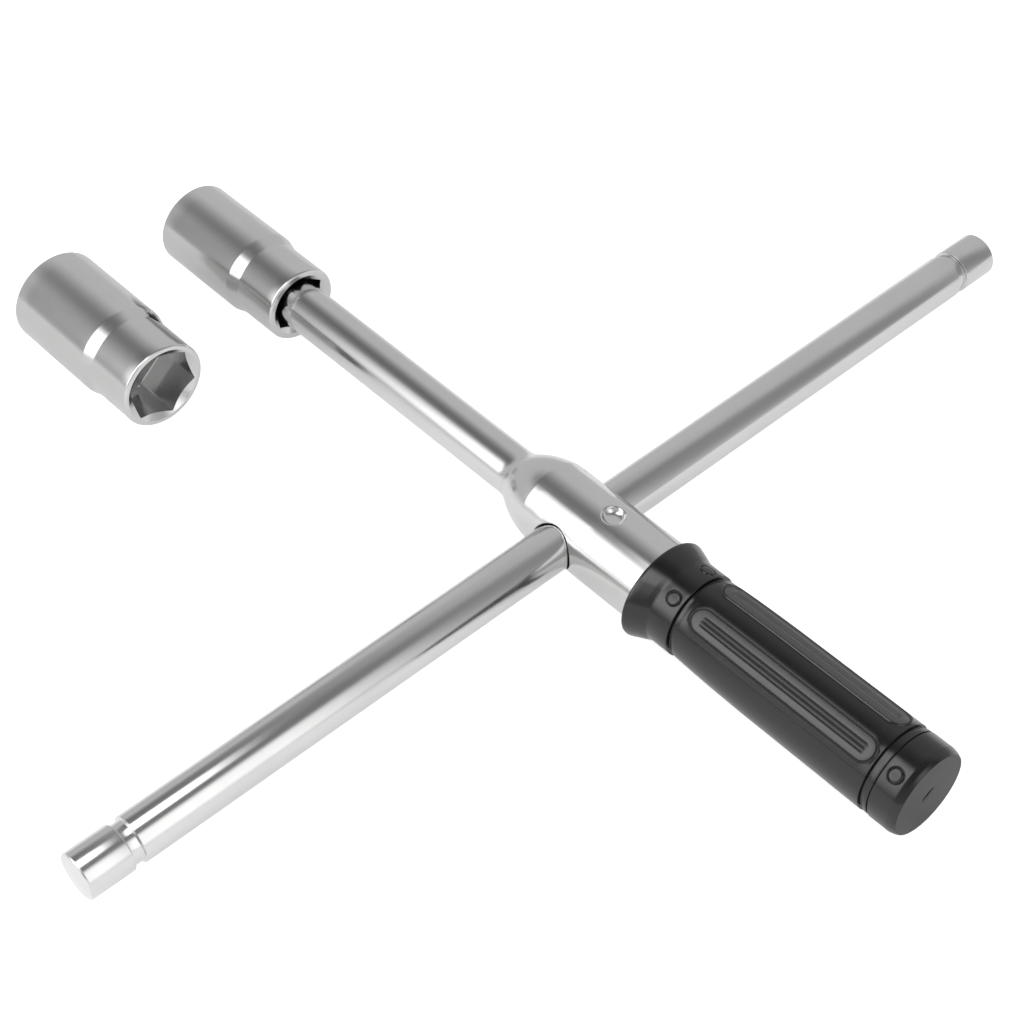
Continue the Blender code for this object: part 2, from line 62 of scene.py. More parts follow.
# Sizes in millimetres
BAR_HALF = 175.0
BAR_R = 7.0
ROD_R = 7.5
SQUARE_HALF = 6.35
HUB_R = 13.0
BAR_HOLE_R = 7.3
SOCKET_WEB = (13.5, 24.0)
SQUARE_HOLE_HALF = 6.65
GRIP_R = 13.6
GRIP_END = 127.4
COLLAR_R = 13.65
FLANGE_R = 16.0
AXIS_UP = CROSSING.z
PANEL_TURNS = (36.0, -24.0, 156.0, 216.0)
BOSS_TURNS = (35.0, -25.0, 155.0, 215.0)
REAR_BOSS_TURN = 38.0
REAR_BOSS_AT = 121.7
FRONT_BOSS_AT = 42.45
DIMPLE_AT = 11.0
DIMPLE_TURN = -3.0

# Studio: light levels of the surround, the floor's half width, and black and white
FAR_WALL_LIGHT = 0.65
CEILING_LIGHT = 0.33
NEAR_ROOM_LIGHT = 0.60
FLOOR_HALF = 6.0
BLACK = (0.0, 0.0, 0.0, 1.0)
WHITE = (1.0, 1.0, 1.0, 1.0)

# Camera, from the crossing of shaft and bar (metres, degrees)
CAMERA_FROM_CROSSING = (0.2993, -0.3034, 0.4646)
CAMERA_TILT = 42.8565
CAMERA_TURN = 47.369
CAMERA_LENS = 77.76


# ---------------------------------------------------------------- surfaces

def rounded(corners, steps=4):
    """Profile points (along, radius) of a polyline whose corners (along, radius, fillet) turn into
    arcs: the arc's centre lies on the bisector at fillet / sin(half angle) from the corner."""
    points = []
    last = len(corners) - 1
    for i, (along, radius, fillet) in enumerate(corners):
        here = np.array((along, radius))
        if fillet == 0 or i in (0, last):
            points.append(here[None])
            continue
        back = np.array(corners[i - 1][:2]) - here
        ahead = np.array(corners[i + 1][:2]) - here
        reach_most = 0.48 * min(np.hypot(*back), np.hypot(*ahead))
        back = back / np.hypot(*back)
        ahead = ahead / np.hypot(*ahead)
        half = math.acos(float(np.clip(back @ ahead, -1, 1))) / 2
        reach = min(fillet / math.tan(half), reach_most)
        size = reach * math.tan(half)
        centre = here + (back + ahead) / np.hypot(*(back + ahead)) * size / math.sin(half)
        first = math.atan2(*(here + back * reach - centre)[::-1])
        final = math.atan2(*(here + ahead * reach - centre)[::-1])
        sweep = (final - first + math.pi) % (2 * math.pi) - math.pi
        angles = first + sweep * np.linspace(0, 1, steps + 1)
        points.append(centre + size * np.stack((np.cos(angles), np.sin(angles)), -1))
    return np.concatenate(points)


def around(along, turn, radius):
    """Points of a round surface about X: (along, -radius sin turn, radius cos turn), turn in degrees."""
    along, turn, radius = np.broadcast_arrays(along, np.radians(turn), radius)
    return np.stack((along, -radius * np.sin(turn), radius * np.cos(turn)), -1)


def lathe(profile, turns):
    """Surface of revolution: every profile point (along, radius) carried through all the turns."""
    return around(profile[:, :1], turns[None], profile[:, 1:])


class Skin:
    """Gathers grids of points and welds them into one closed mesh."""

    def __init__(self):
        self.points = []
        self.faces = []
        self.marks = []
        self.count = 0

    def grid(self, points, wrap=True, keep=None, mark=0.0):
        """Adds a grid (rows, columns, 3). With wrap its last column joins its first. Keep says which
        cells get a face, and mark is a number that the material reads from the surface."""
        rows, columns = points.shape[:2]
        index = self.count + np.arange(rows * columns).reshape(rows, columns)
        right = np.roll(index, -1, axis=1)
        cells = np.stack((index[:-1], index[1:], right[1:], right[:-1]), -1)
        if not wrap:
            cells = cells[:, :-1]
        if keep is not None:
            cells = cells[keep]
        self.points.append(points.reshape(-1, 3))
        self.faces.append(cells.reshape(-1, 4))
        self.marks.append(np.broadcast_to(mark, (rows, columns)).reshape(-1).astype(np.float32))
        self.count += rows * columns

    def mesh_object(self, name, origin, turn=0.0, sharp=30.0, swap=False):
        """Welds the grids, puts them at the origin given, turned about X by turn degrees. With swap
        the piece's own X becomes Y, for a piece that lies along Y."""
        points = np.concatenate(self.points)
        if swap:
            points = points[:, [1, 0, 2]] * (-1, 1, 1)
        c, s = math.cos(math.radians(turn)), math.sin(math.radians(turn))
        points = points @ np.array(((1, 0, 0), (0, c, -s), (0, s, c))).T
        points = points * MM + np.array(origin)
        mesh = bpy.data.meshes.new(name)
        mesh.from_pydata(points.tolist(), [], np.concatenate(self.faces).tolist())
        mark = mesh.attributes.new("mark", "FLOAT", "POINT")
        mark.data.foreach_set("value", np.concatenate(self.marks))
        shape = bmesh.new()
        shape.from_mesh(mesh)
        bmesh.ops.remove_doubles(shape, verts=shape.verts, dist=WELD)
        loose = [vert for vert in shape.verts if not vert.link_faces]
        bmesh.ops.delete(shape, geom=loose, context="VERTS")
        bmesh.ops.recalc_face_normals(shape, faces=shape.faces)
        shape.to_mesh(mesh)
        shape.free()
        mesh.shade_smooth()
        mesh.set_sharp_from_angle(angle=math.radians(sharp))
        piece = bpy.data.objects.new(name, mesh)
        bpy.context.scene.collection.objects.link(piece)
        return piece


def place(piece, body, slot, material, *nodes):
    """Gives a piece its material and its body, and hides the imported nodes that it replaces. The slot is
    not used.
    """
    piece.data.materials.append(material)
    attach(piece, body)
    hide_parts(*nodes)


class Round:
    """A round surface on a lattice of profile rows and turns, with windows left open in it."""

    def __init__(self, profile, turns):
        self.profile = profile
        self.turns = turns
        self.keep = np.ones((len(profile) - 1, len(turns)), bool)

    def radius(self, along, first, last):
        """Radius at a place between two rows, read from the profile."""
        rows = self.profile[min(first, last):max(first, last) + 1]
        order = np.argsort(rows[:, 0], kind="stable")
        return np.interp(along, rows[order, 0], rows[order, 1])

    def row(self, along):
        return int(np.argmin(np.abs(self.profile[:, 0] - along)))

    def window(self, along_0, along_1, turn_0, turn_1):
        """Opens a window and returns its rows and its edge as (along, turn) points in order."""
        a, b = self.row(along_0), self.row(along_1)
        j0 = int(np.argmin(np.abs(self.turns - turn_0)))
        j1 = int(np.argmin(np.abs(self.turns - turn_1)))
        self.keep[min(a, b):max(a, b), j0:j1] = False
        step = 1 if b > a else -1
        rows = np.arange(a, b, step)
        columns = np.arange(j0, j1)
        back, home = np.full(len(columns), b), np.full(len(columns), a)
        start, end = np.full(len(rows), j0), np.full(len(rows), j1)
        path_rows = np.concatenate((rows, back, rows[::-1] + step, home))
        path_columns = np.concatenate((start, columns, end, columns[::-1] + 1))
        last = len(self.turns)
        turns = self.turns[path_columns % last] + 360.0 * (path_columns >= last)
        return (a, b), self.profile[path_rows, 0], turns

    def add_to(self, skin):
        skin.grid(lathe(self.profile, self.turns), keep=self.keep)


def drill(skin, surface, window, centre, turn, lip, wall):
    """A hole or pit square to the axis. In the plane across the hole's own axis its rings are circles:
    lip rings (ring radius, depth under the surface) follow the round surface, h = sqrt(R^2 - s^2) - depth,
    and wall rings (ring radius, height) stand at a fixed height h from the shaft's axis."""
    (first, last), along, turns = window
    edge_radius = surface.radius(along, first, last)
    across = edge_radius * np.sin(np.radians(turns - turn))
    out = np.stack((along - centre, across), -1)
    unit = out / np.linalg.norm(out, axis=1, keepdims=True)
    plane = []
    for share in (0.0, 0.3, 0.65):
        plane.append((out * (1 - share) + unit * lip[0][0] * share, 0.0, None))
    plane += [(unit * ring, depth, None) for ring, depth in lip]
    plane += [(unit * ring, None, height) for ring, height in wall]
    rings = []
    c, s = math.cos(math.radians(turn)), math.sin(math.radians(turn))
    for flat, depth, height in plane:
        place_along = centre + flat[:, 0]
        if height is None:
            local = surface.radius(place_along, first, last)
            rise = np.sqrt(np.maximum(local**2 - flat[:, 1] ** 2, 0)) - depth
        else:
            rise = np.full(len(flat), float(height))
        rings.append(np.stack((place_along, -flat[:, 1] * c - rise * s, -flat[:, 1] * s + rise * c), -1))
    skin.grid(np.stack(rings))


def inlay(skin, surface, window, segment, turn, distances, height, mark=0.0):
    """Relief that follows the round surface. Each edge point of the window aims at the nearest point of
    a straight segment along the shaft; a ring lies at each distance from the segment, raised by
    height(along, across, distance). Distances fall to 0, where the rings close on the segment."""
    (first, last), along, turns = window
    across = np.radians(turns - turn) * GRIP_R
    near = np.clip(along, *segment)
    out = np.stack((along - near, across), -1)
    reach = np.linalg.norm(out, axis=1)
    unit = out / reach[:, None]
    rings = []
    marks = []
    for share in (0.0, 0.5):
        distance = reach * (1 - share) + distances[0] * share
        rings.append((distance, 0.0))
    rings += [(np.full(len(near), float(d)), 1.0) for d in distances]
    grid = []
    for distance, relief in rings:
        x = near + unit[:, 0] * distance
        s = unit[:, 1] * distance
        base = surface.radius(x, first, last)
        grid.append(around(x, turn + np.degrees(s / GRIP_R), base + relief * height(x, s, distance)))
        marks.append(np.where(distance < distances[0] - 0.5, mark, 0.0))
    skin.grid(np.stack(grid), mark=np.stack(marks))


# ---------------------------------------------------------------- shader maths

class Sock:
    """A number socket of a node tree. Operators on it add Math nodes."""

    def __init__(self, maker, socket):
        self.maker = maker
        self.socket = socket

    def math(self, operation, *others):
        return self.maker.number(operation, self, *others)

    def __add__(self, other):
        return self.math("ADD", other)

    __radd__ = __add__

    def __mul__(self, other):
        return self.math("MULTIPLY", other)

    __rmul__ = __mul__

    def __truediv__(self, other):
        return self.math("DIVIDE", other)


class Maker:
    """Adds nodes to one tree."""

    def __init__(self, tree):
        self.tree = tree

    def node(self, kind, settings=None, out=0, **sockets):
        """Adds a node: its settings first, then its sockets' values or links. Returns one output."""
        node = self.tree.nodes.new(kind)
        for key, value in (settings or {}).items():
            setattr(node, key, value)
        for key, value in sockets.items():
            numbered = key[0] == "i" and key[1:].isdigit()
            spot = node.inputs[int(key[1:]) if numbered else key.replace("_", " ")]
            if isinstance(value, Sock):
                self.tree.links.new(value.socket, spot)
            else:
                spot.default_value = value
        return Sock(self, node.outputs[out])

    def number(self, operation, *values):
        named = {f"i{i}": value for i, value in enumerate(values)}
        return self.node("ShaderNodeMath", {"operation": operation}, **named)

    def soft(self, value, low, high, to_low=0.0, to_high=1.0):
        """Value mapped from low..high to to_low..to_high with a smooth step."""
        return self.node(
            "ShaderNodeMapRange",
            {"interpolation_type": "SMOOTHSTEP"},
            Value=value, From_Min=low, From_Max=high, To_Min=to_low, To_Max=to_high,
        )

    def mix(self, share, first, second):
        return self.node("ShaderNodeMix", {"data_type": "RGBA"}, out=2, i0=share, i6=first, i7=second)

    def dot(self, where, axis):
        """Dot product of a vector socket and an axis."""
        return self.node("ShaderNodeVectorMath", {"operation": "DOT_PRODUCT"}, out=1, i0=where, i1=axis)

    def noise(self, where, scale, detail=3.0, roughness=0.5, stretch=None):
        if stretch is not None:
            where = self.node("ShaderNodeVectorMath", {"operation": "MULTIPLY"}, i0=where, i1=stretch)
        return self.node(
            "ShaderNodeTexNoise", None, Vector=where, Scale=scale, Detail=detail, Roughness=roughness
        )


def new_material(name):
    material = bpy.data.materials.new(name)
    material.use_nodes = True
    tree = material.node_tree
    return material, Maker(tree), tree.nodes["Principled BSDF"]


def feed(maker, shader, **sockets):
    for key, value in sockets.items():
        spot = shader.inputs[key.replace("_", " ")]
        if isinstance(value, Sock):
            maker.tree.links.new(value.socket, spot)
        else:
            spot.default_value = value


def satin_chrome(name, grain, tone=0.66, rough=0.15):
    """Satin chrome plate. Grain is the stretch of its polishing lines per axis: large across them."""
    material, m, shader = new_material(name)
    where = m.node("ShaderNodeTexCoord", out=3)
    lines = m.noise(where, 1.0, 3.0, 0.55, grain)
    cloud = m.soft(m.noise(where, 45.0, 3.0, 0.5), 0.35, 0.68)
    specks = m.soft(m.noise(where, 900.0, 3.0, 0.55), 0.60, 0.78)
    colour = m.mix(cloud, (tone, tone, tone * 0.995, 1.0), (tone * 0.965, tone * 0.965, tone * 0.96, 1.0))
    colour = m.mix(specks * 0.35, colour, (tone * 0.86, tone * 0.86, tone * 0.85, 1.0))
    bump = m.node("ShaderNodeBump", None, Strength=0.05, Distance=0.00003, Height=lines)
    feed(m, shader, Base_Color=colour, Metallic=1.0, Normal=bump)
    feed(m, shader, Roughness=rough + cloud * 0.03 + lines * 0.02 + specks * 0.05)
    return material


def grip_rubber():
    """Black moulded rubber: glossy on the smooth bands, greyer and duller inside the panels."""
    material, m, shader = new_material("grip_rubber")
    where = m.node("ShaderNodeTexCoord", out=3)
    panel = m.node("ShaderNodeAttribute", {"attribute_name": "mark"}, out=2)
    pebble = m.noise(where, 1500.0, 3.0, 0.6)
    cloud = m.soft(m.noise(where, 90.0, 3.0, 0.5), 0.35, 0.7)
    dust = m.soft(m.noise(where, 420.0, 4.0, 0.6), 0.58, 0.82)
    base = m.mix(cloud, (0.0036, 0.0036, 0.0035, 1.0), (0.0055, 0.0054, 0.0052, 1.0))
    dull = m.mix(panel, base, (0.055, 0.055, 0.0545, 1.0))
    colour = m.mix(dust * 0.08, dull, (0.05, 0.049, 0.047, 1.0))
    bump = m.node(
        "ShaderNodeBump", None, Strength=0.10, Distance=0.00004, Height=pebble * (0.3 + panel * 0.7)
    )
    feed(m, shader, Base_Color=colour, Metallic=0.0, Normal=bump)
    feed(m, shader, Roughness=0.17 + cloud * 0.05 + panel * 0.20 + dust * 0.08)
    shader.inputs["Specular IOR Level"].default_value = 0.6
    return material


def plain_steel():
    """Dull turned steel of the pieces inside the tool."""
    material, m, shader = new_material("plain_steel")
    where = m.node("ShaderNodeTexCoord", out=3)
    cloud = m.noise(where, 300.0, 3.0, 0.5)
    fine = m.noise(where, 4000.0, 2.0, 0.5)
    colour = m.mix(cloud, (0.36, 0.36, 0.37, 1.0), (0.46, 0.455, 0.45, 1.0))
    bump = m.node("ShaderNodeBump", None, Strength=0.15, Distance=0.00005, Height=fine)
    feed(m, shader, Base_Color=colour, Metallic=1.0, Roughness=0.32 + cloud * 0.12, Normal=bump)
    return material


# ---------------------------------------------------------------- pieces

def even_turns(count, start=0.0):
    return start + 360.0 * np.arange(count) / count


def build_cross_bar(material):
    """Lathe along Y: small end chamfers and three grooves with soft edges."""
    corners = [(-BAR_HALF, 0.0, 0), (-BAR_HALF, 6.62, 0.12), (-BAR_HALF + 0.38, BAR_R, 0.2)]
    for centre in (-160.0, 0.0, 160.0):
        corners += [
            (centre - 1.75, BAR_R, 0.12),
            (centre - 1.5, 6.1, 0.18),
            (centre + 1.5, 6.1, 0.18),
            (centre + 1.75, BAR_R, 0.12),
        ]
    corners += [(BAR_HALF - 0.38, BAR_R, 0.2), (BAR_HALF, 6.62, 0.12), (BAR_HALF, 0.0, 0)]
    skin = Skin()
    skin.grid(lathe(rounded(corners), even_turns(160)))
    piece = skin.mesh_object("cross_bar_skin", CROSSING, swap=True)
    place(piece, "bar", "shaft_steel", material, "cross_bar")


def build_drive_rod(material):
    """Round rod that flares by a power curve into the hub and turns into a square. In each row the
    radius is min(r, a / max(|cos|, |sin|)): r is the round size and a the flats' distance, which falls
    along a quarter circle behind the shoulder."""
    rows = [(-14.0, 0.0, 20.0), (-14.0, 4.7, 20.0), (-14.3, 5.0, 20.0), (-26.3, 5.0, 20.0)]
    for share in np.linspace(0, 1, 8):
        rows.append((-26.3 - 3.4 * share, ROD_R + 0.45 * (1 - share) ** 2.4, 20.0))
    rows += [(x, ROD_R, 20.0) for x in np.linspace(-31, -125, 20)]
    start = -128.5
    drop = ROD_R - SQUARE_HALF
    for share in np.linspace(0, 1, 10):
        flats = SQUARE_HALF + drop * (1 - math.sqrt(1 - (1 - share) ** 2))
        rows.append((start - drop * share, ROD_R, flats))
    rows += [(-147.9, ROD_R, SQUARE_HALF), (-148.1, 7.35, SQUARE_HALF), (-149.3, 5.9, SQUARE_HALF)]
    rows += [(-149.5, 5.6, SQUARE_HALF), (-149.5, 0.0, SQUARE_HALF)]
    rows = np.array(rows)
    corner = math.degrees(math.acos(SQUARE_HALF / ROD_R))
    corners = [90 * k + sign * corner for k in range(4) for sign in (-1, 1)]
    turns = np.unique(np.round(np.concatenate((even_turns(176), np.array(corners) % 360)), 6))
    side = np.maximum(np.abs(np.cos(np.radians(turns))), np.abs(np.sin(np.radians(turns))))
    radius = np.minimum(rows[:, 1:2], rows[:, 2:3] / side[None])
    skin = Skin()
    skin.grid(around(rows[:, :1], turns[None], radius))
    piece = skin.mesh_object("drive_rod_skin", CROSSING)
    place(piece, "wrench", "shaft_steel", material, "drive_rod")


def build_hub(material):
    """Turned head. Its nose leaves the cylinder at a crisp edge and falls as
    r = R - 0.17 d - 0.0081 d^2.32, with d the distance from the edge, and eases out onto the rod. The
    bar's hole is drilled from both sides, and the pit on top is a bowl whose depth is
    1 - (ring / edge)^5 of its middle's."""
    outside = [(-26.25, 7.98), (-26.0, 8.08), (-25.6, 8.26), (-25.2, 8.46)]
    for d in np.linspace(11.6, 0.0, 24):
        outside.append((-13.2 - d, HUB_R - 0.17 * d - 0.0081 * d**2.32))
    outside += [(x, HUB_R) for x in (-13.1, -12.0, -11.0)]
    outside += [(x, HUB_R) for x in np.arange(-10.0, 17.1, 1.0)]
    outside += [(x, HUB_R) for x in (20.0, 24.0, 28.0, 32.0, 33.6)]
    outside += [(33.8, 12.95), (34.0, 12.75)]
    inside = [(34.0, 10.3), (9.0, 10.3), (9.0, 0.0)]
    nose = [(-13.7, 0.0), (-13.7, 5.3), (-26.25, 5.3)]
    surface = Round(np.array(nose + outside + inside), even_turns(120, -180.0))
    skin = Skin()
    lip = [(7.75, 0.0), (7.66, 0.02), (7.52, 0.08), (7.38, 0.2), (BAR_HOLE_R, 0.4)]
    for turn in (-90.0, 90.0):
        window = surface.window(-10.0, 10.0, turn - 60, turn + 60)
        drill(skin, surface, window, 0.0, turn, lip, [(BAR_HOLE_R, 5.0), (BAR_HOLE_R, 0.0)])
    window = surface.window(5.0, 17.0, -33.0, 27.0)
    edge, top, deep = 3.3, 12.2, 1.35
    lip = [(4.05, 0.0), (3.9, 0.015), (3.7, 0.08), (3.5, 0.22), (3.38, 0.36)]
    rings = (1, 0.97, 0.93, 0.88, 0.82, 0.75, 0.66, 0.55, 0.42, 0.28, 0.14, 0)
    bowl = [(ring * edge, top - deep * (1 - ring**5)) for ring in rings]
    drill(skin, surface, window, DIMPLE_AT, DIMPLE_TURN, lip, bowl)
    surface.add_to(skin)
    piece = skin.mesh_object("hub_skin", CROSSING, sharp=24.0)
    place(piece, "wrench", "shaft_steel", material, "hub")


def polygon_radius(turns, sides, flat, fillet, first=0.0):
    """Radius of a polygon with rounded corners: flat / cos(angle from the flat's middle), and near a
    corner c cos a + sqrt(f^2 - c^2 sin^2 a), with c the fillet centre's distance. First is one corner."""
    half = math.pi / sides
    from_corner = (np.radians(turns - first) + half) % (2 * half) - half
    from_flat = half - np.abs(from_corner)
    centre = (flat - fillet) / math.cos(half)
    tangent = math.atan2((flat - fillet) * math.tan(half), flat)
    inside = np.maximum(fillet**2 - (centre * np.sin(from_corner)) ** 2, 0)
    arc = centre * np.cos(from_corner) + np.sqrt(inside)
    return np.where(from_flat <= tangent, flat / np.cos(from_flat), arc)


def hex_mouth(skin, mouth, deep, inward, turns, hex_radius, rim):
    """Mouth of a hex hole: a cone from the rim meets the hex at depth (rim - radius) / slope, so the
    meeting line is scalloped, then the flats run on to the hole's bottom."""
    slope = 1.55
    meet = (rim - hex_radius) / slope
    rows = [(np.full(len(turns), mouth), np.full(len(turns), rim))]
    for share in (0.5, 1.0):
        rows.append((mouth + inward * meet * share, rim + (hex_radius - rim) * share))
    for share in (0.06, 0.25, 0.5, 0.75, 1.0):
        span = abs(deep - mouth) - meet
        rows.append((mouth + inward * (meet + span * share), hex_radius))
    along = np.stack([row[0] for row in rows])
    radius = np.stack([row[1] for row in rows])
    skin.grid(around(along, turns[None], radius))


def build_socket(name, node, body, origin, turn, length, small, large, taper, hexes, material):
    """Double-ended socket. Outside: a lathe whose two sizes meet in a short cone with small fillets.
    Inside: a hex hole at each end, and between them a web with a square hole. One column grid serves
    every surface."""
    base = even_turns(120)
    hex_steps = (-2.2, -1.7, -1.2, -0.7, -0.3, 0.3, 0.7, 1.2, 1.7, 2.2)
    square_steps = (-1.6, -1.0, -0.5, 0.0, 0.5, 1.0, 1.6)
    hex_near = np.array([60.0 * k + step for k in range(6) for step in hex_steps]) % 360
    square_near = np.array([45.0 + 90.0 * k + step for k in range(4) for step in square_steps])
    turns = np.unique(np.round(np.concatenate((base, hex_near, square_near)), 6))
    near_flat, far_flat = hexes[0] / 2, hexes[1] / 2
    near_hex = polygon_radius(turns, 6, near_flat, 0.45)
    far_hex = polygon_radius(turns, 6, far_flat, 0.45)
    square = polygon_radius(turns, 4, SQUARE_HOLE_HALF, 0.35, 45.0)
    near_rim = near_hex.max() + 0.55
    far_rim = far_hex.max() + 0.55
    edge = rounded([(0.0, near_rim, 0), (0.0, small, 0.75), (-4.0, small, 0)], 6)
    outside = list(edge)[:-1] + [(x, small) for x in (-4.0, -8.0, -12.0)]
    cone = [(-12.0, small, 0), (-taper[0], small, 1.6)]
    cone += [(-taper[1], large, 1.6), (-taper[1] - 2.4, large, 0)]
    outside += list(rounded(cone, 7))[1:-1]
    outside += [(x, large) for x in np.linspace(-taper[1] - 2.5, 6.0 - length, 8)]
    edge = rounded([(6.0 - length, large, 0), (-length, large, 0.75), (-length, far_rim, 0)], 6)
    outside += list(edge)[1:]
    surface = Round(np.array(outside), turns)
    skin = Skin()
    window = surface.window(-12.0, -taper[1] - 2.5, 162.0, 198.0)
    lip = [(3.0, 0.0), (2.9, 0.02), (2.75, 0.1), (2.6, 0.3)]
    drill(skin, surface, window, -17.5, 180.0, lip, [(2.6, 6.7), (0.0, 6.7)])
    surface.add_to(skin)
    hex_mouth(skin, 0.0, -SOCKET_WEB[0], -1, turns, near_hex, near_rim)
    hex_mouth(skin, -length, -SOCKET_WEB[1], 1, turns, far_hex, far_rim)
    web = np.stack([near_hex, square + 0.35, square, square, square + 0.35, far_hex])
    along = np.array([-13.5, -13.5, -13.85, -23.65, -24.0, -24.0])
    skin.grid(around(along[:, None], turns[None], web))
    piece = skin.mesh_object(name, origin, turn=turn)
    place(piece, body, "socket_steel", material, node)


def panel_height(along, across, distance):
    """Relief of one grip panel: a bead round the edge, a thin groove inside it, a flat floor, and three
    straight slots that leave two ribs."""
    bead = 0.32 * np.exp(-(((distance - 4.12) / 0.22) ** 2))
    groove = -0.42 * np.exp(-(((distance - 3.62) / 0.17) ** 2))
    floor = -0.12 * np.clip((3.9 - distance) / 0.5, 0, 1)
    length = np.clip((along - 52.8) / 0.9, 0, 1) * np.clip((111.2 - along) / 0.9, 0, 1)
    slots = np.zeros_like(along)
    for middle, depth, width in ((0.0, 0.55, 0.23), (1.3, 0.50, 0.20), (-1.3, 0.50, 0.20)):
        slots = slots - depth * np.exp(-(((across - middle) / width) ** 2))
    ribs = 0.20 * np.exp(-(((np.abs(across) - 0.65) / 0.28) ** 2))
    return bead + groove + floor + (slots + ribs) * length


def boss_height(along, across, distance):
    """Round button: flat top, a thin ring groove round it."""
    groove = -0.36 * np.exp(-(((distance - 2.15) / 0.17) ** 2))
    return groove + 0.10 * np.clip((1.95 - distance) / 0.25, 0, 1)


def grip_profile():
    """Profile from the end face to the bore under the flange, then the bores back inside."""
    corners = [
        (127.25, 12.3, 0),
        (127.25, 12.8, 0.22),
        (126.2, 13.32, 1.2),
        (124.8, COLLAR_R, 2.0),
        (124.4, COLLAR_R, 0),
    ]
    points = list(rounded(corners, 5))
    stations = (124.0, 123.4, 122.8, 122.2, 121.6, 121.0, 120.4, 119.8, 119.2, 118.8)
    points += [(x, COLLAR_R) for x in stations]
    corners = [
        (118.8, COLLAR_R, 0),
        (118.5, COLLAR_R, 0.1),
        (118.4, 13.0, 0.06),
        (117.95, 13.0, 0.06),
        (117.85, 13.5, 0.12),
        (116.6, 13.5, 0.12),
        (116.45, 12.7, 0.08),
        (115.4, 12.7, 0.08),
        (115.25, 13.7, 0.12),
    ]
    points += list(rounded(corners, 5))[1:-1] + [(115.22, 13.66), (115.1, 13.69)]
    stations = np.concatenate((
        [115.0, 114.4, 113.8, 113.0, 112.2, 111.6, 111.1, 110.7, 110.3, 109.9, 109.0, 107.5],
        np.arange(106.0, 57.0, -2.0),
        [56.0, 54.8, 54.0, 53.6, 53.2, 52.8, 52.3, 51.6, 51.0, 50.3, 49.6, 49.0, 48.6],
    ))
    known = [48.0, 52.0, 57.0, 63.0, 72.0, 113.0, 116.0]
    radii = [12.9, 13.1, 13.3, 13.45, 13.6, 13.7, 13.7]
    points += [(x, float(np.interp(x, known, radii))) for x in stations]
    corners = [(48.6, 12.93, 0), (47.65, 12.88, 0.14), (47.5, 12.0, 0.1), (46.0, 12.0, 0.1)]
    corners += [(45.8, 13.25, 0.2), (45.0, 13.25, 0)]
    points += list(rounded(corners, 4))[1:]
    points += [(x, 13.25) for x in (44.2, 43.4, 42.6, 41.8, 41.0, 40.2, 39.4)]
    corners = [
        (39.4, 13.25, 0), (38.2, 13.25, 2.0), (36.4, 14.15, 4.0), (33.0, 15.6, 3.0),
        (31.95, FLANGE_R, 0.3), (31.4, FLANGE_R, 0.12), (31.0, 15.6, 0.2),
        (31.0, 13.3, 0.3), (34.3, 13.3, 0), (34.3, 10.3, 0), (124.3, 10.3, 0), (124.3, 0.0, 0),
    ]
    points += list(rounded(corners, 6))[1:]
    return np.array(points)


def end_face(skin, turns):
    """End disc, slightly domed, with a vent slit: rings run from the disc's edge to the slit's outline
    in straight lines, and then down the slit's wall."""
    slant = math.radians(31.0)
    middle = np.array((-0.9, 1.5))
    edge = around(0.0, turns, 12.3)[:, 1:]
    offset = edge - middle
    direction = np.array((math.cos(slant), math.sin(slant)))
    half = 1.9
    along = np.clip(offset @ direction, -half, half)
    near = middle + along[:, None] * direction
    out = edge - near
    unit = out / np.linalg.norm(out, axis=1, keepdims=True)
    width = 0.46 * (1 - 0.45 * np.abs(along) / half)
    rings = []
    for share in (0.0, 0.15, 0.35, 0.55, 0.75, 0.92):
        flat = edge * (1 - share) + (near + unit * (width[:, None] + 0.12)) * share
        dome = GRIP_END - 0.15 * (np.hypot(flat[:, 0], flat[:, 1]) / 12.3) ** 2
        rings.append(np.column_stack((dome, flat)))
    lip = ((GRIP_END - 0.01, 0.12), (GRIP_END - 0.04, 0.04), (GRIP_END - 0.15, 0.0), (124.6, 0.0))
    for depth, more in lip:
        outline = near + unit * (width[:, None] + more)
        rings.append(np.column_stack((np.full(len(turns), depth), outline)))
    rings.append(np.column_stack((np.full(len(turns), 124.6), near)))
    skin.grid(np.stack(rings))


def lower_flange(points):
    """Makes the flange an oval that sits low: with w from 0 at the collar to 1 at the rim,
    z becomes z (1 - 0.0575 w) - 0.92 w."""
    radius = np.hypot(points[..., 1], points[..., 2])
    share = np.clip((radius - 13.3) / (FLANGE_R - 13.3), 0, 1) * (points[..., 0] < 39.0)
    points = points.copy()
    points[..., 2] = points[..., 2] * (1 - 0.0575 * share) - 0.92 * share
    return points


